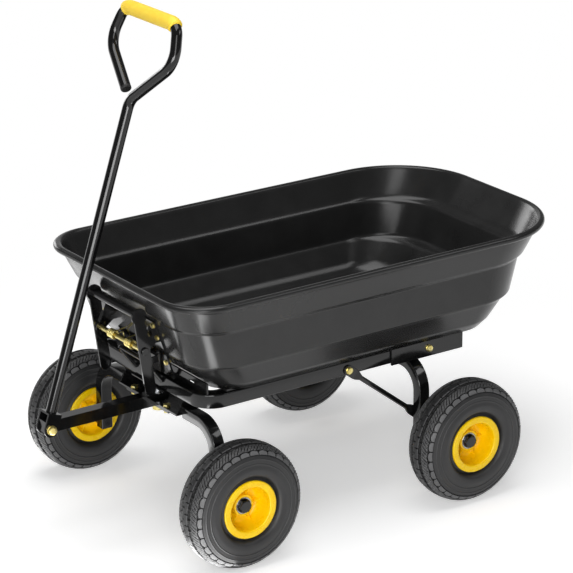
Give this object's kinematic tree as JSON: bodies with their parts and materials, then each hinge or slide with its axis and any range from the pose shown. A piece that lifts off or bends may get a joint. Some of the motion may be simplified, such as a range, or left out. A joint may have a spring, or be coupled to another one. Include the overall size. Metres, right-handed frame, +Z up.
{
  "type": "tipping dump cart",
  "caption": "Garden dump cart: black tub tipping rearward on a tube frame, steered front axle, folding loop handle with yellow grip, yellow-rimmed pneumatic wheels.",
  "frame": {"origin": "on the floor below the middle of the cart's overall length and width", "axes": "+X forward towards the pull handle, +Y to the cart's left, +Z up"},
  "size_m": [1.1404, 0.6798, 1.0654],
  "materials": {
    "tub_plastic": "gloss",
    "black_steel": "gloss",
    "zinc_steel": "satin",
    "bearing_steel": "satin",
    "tyre_rubber": "matte",
    "rim_plastic": "gloss",
    "grip_plastic": "matte",
    "plug_plastic": "matte"
  },
  "bodies": {
    "chassis": {"frame_rails": "black_steel", "cross_member": "black_steel", "front_plate": "black_steel", "catch_loop": "black_steel", "kingpin_plate": "black_steel", "kingpin": "black_steel", "thrust_bush": "bearing_steel", "kingpin_nut": "zinc_steel", "rear_arch": "black_steel", "arch_seats": "black_steel", "rear_stub_axles": "black_steel", "rear_axle_nuts": "black_steel", "brace_left": "black_steel", "brace_right": "black_steel", "brace_bolts": "zinc_steel", "hinge_bolts": "zinc_steel"},
    "front_axle": {"turning_bracket": "black_steel", "front_leg_left": "black_steel", "front_leg_right": "black_steel", "front_stub_axles": "black_steel", "front_axle_nuts": "black_steel", "tongue": "black_steel", "bracket_bolts": "zinc_steel"},
    "pull_handle": {"handle_fork": "black_steel", "handle_tube": "black_steel", "hand_grip": "grip_plastic", "handle_end_plug": "plug_plastic", "pivot_bolt": "zinc_steel"},
    "tipping_tub": {"tub": "tub_plastic", "hinge_bracket_left": "black_steel", "hinge_bracket_right": "black_steel", "hinge_bracket_bolts": "zinc_steel", "latch_bracket": "black_steel", "latch_bolts": "zinc_steel", "lever_rod": "zinc_steel", "lever_springs": "zinc_steel"},
    "latch_lever": {"release_lever": "black_steel", "lever_bar": "black_steel"},
    "wheel_front_left": {"tyre_front_left": "tyre_rubber", "rim_front_left": "rim_plastic", "bearings_front_left": "bearing_steel", "valve_front_left": "plug_plastic"},
    "wheel_front_right": {"tyre_front_right": "tyre_rubber", "rim_front_right": "rim_plastic", "bearings_front_right": "bearing_steel", "valve_front_right": "plug_plastic"},
    "wheel_rear_left": {"tyre_rear_left": "tyre_rubber", "rim_rear_left": "rim_plastic", "bearings_rear_left": "bearing_steel", "valve_rear_left": "plug_plastic"},
    "wheel_rear_right": {"tyre_rear_right": "tyre_rubber", "rim_rear_right": "rim_plastic", "bearings_rear_right": "bearing_steel", "valve_rear_right": "plug_plastic"}
  },
  "joints": [
    {"name": "tub_tip", "type": "hinge", "parent": "chassis", "child": "tipping_tub", "pos_m": [-0.23425, 0, 0.309], "axis": [0, -1, 0], "range_deg": [0, 80]},
    {"name": "steering", "type": "hinge", "parent": "chassis", "child": "front_axle", "pos_m": [0.29575, 0, 0.257], "axis": [0, 0, 1], "range_deg": [-32, 32]},
    {"name": "handle_fold", "type": "hinge", "parent": "front_axle", "child": "pull_handle", "pos_m": [0.55475, 0, 0.252], "axis": [0, 1, 0], "range_deg": [-3, 120]},
    {"name": "latch_pull", "type": "hinge", "parent": "tipping_tub", "child": "latch_lever", "pos_m": [0.37789, 0, 0.40155], "axis": [0, 1, 0], "range_deg": [0, 12], "stiffness_Nm_per_rad": 1.5, "springref_deg": -28.65, "deforming": ["lever_springs"]},
    {"name": "wheel_front_left_spin", "type": "hinge", "parent": "front_axle", "child": "wheel_front_left", "pos_m": [0.29575, 0.2975, 0.13], "axis": [0, 1, 0], "continuous": true},
    {"name": "wheel_front_right_spin", "type": "hinge", "parent": "front_axle", "child": "wheel_front_right", "pos_m": [0.29575, -0.2975, 0.13], "axis": [0, 1, 0], "continuous": true},
    {"name": "wheel_rear_left_spin", "type": "hinge", "parent": "chassis", "child": "wheel_rear_left", "pos_m": [-0.26225, 0.2975, 0.13], "axis": [0, 1, 0], "continuous": true},
    {"name": "wheel_rear_right_spin", "type": "hinge", "parent": "chassis", "child": "wheel_rear_right", "pos_m": [-0.26225, -0.2975, 0.13], "axis": [0, 1, 0], "continuous": true}
  ]
}
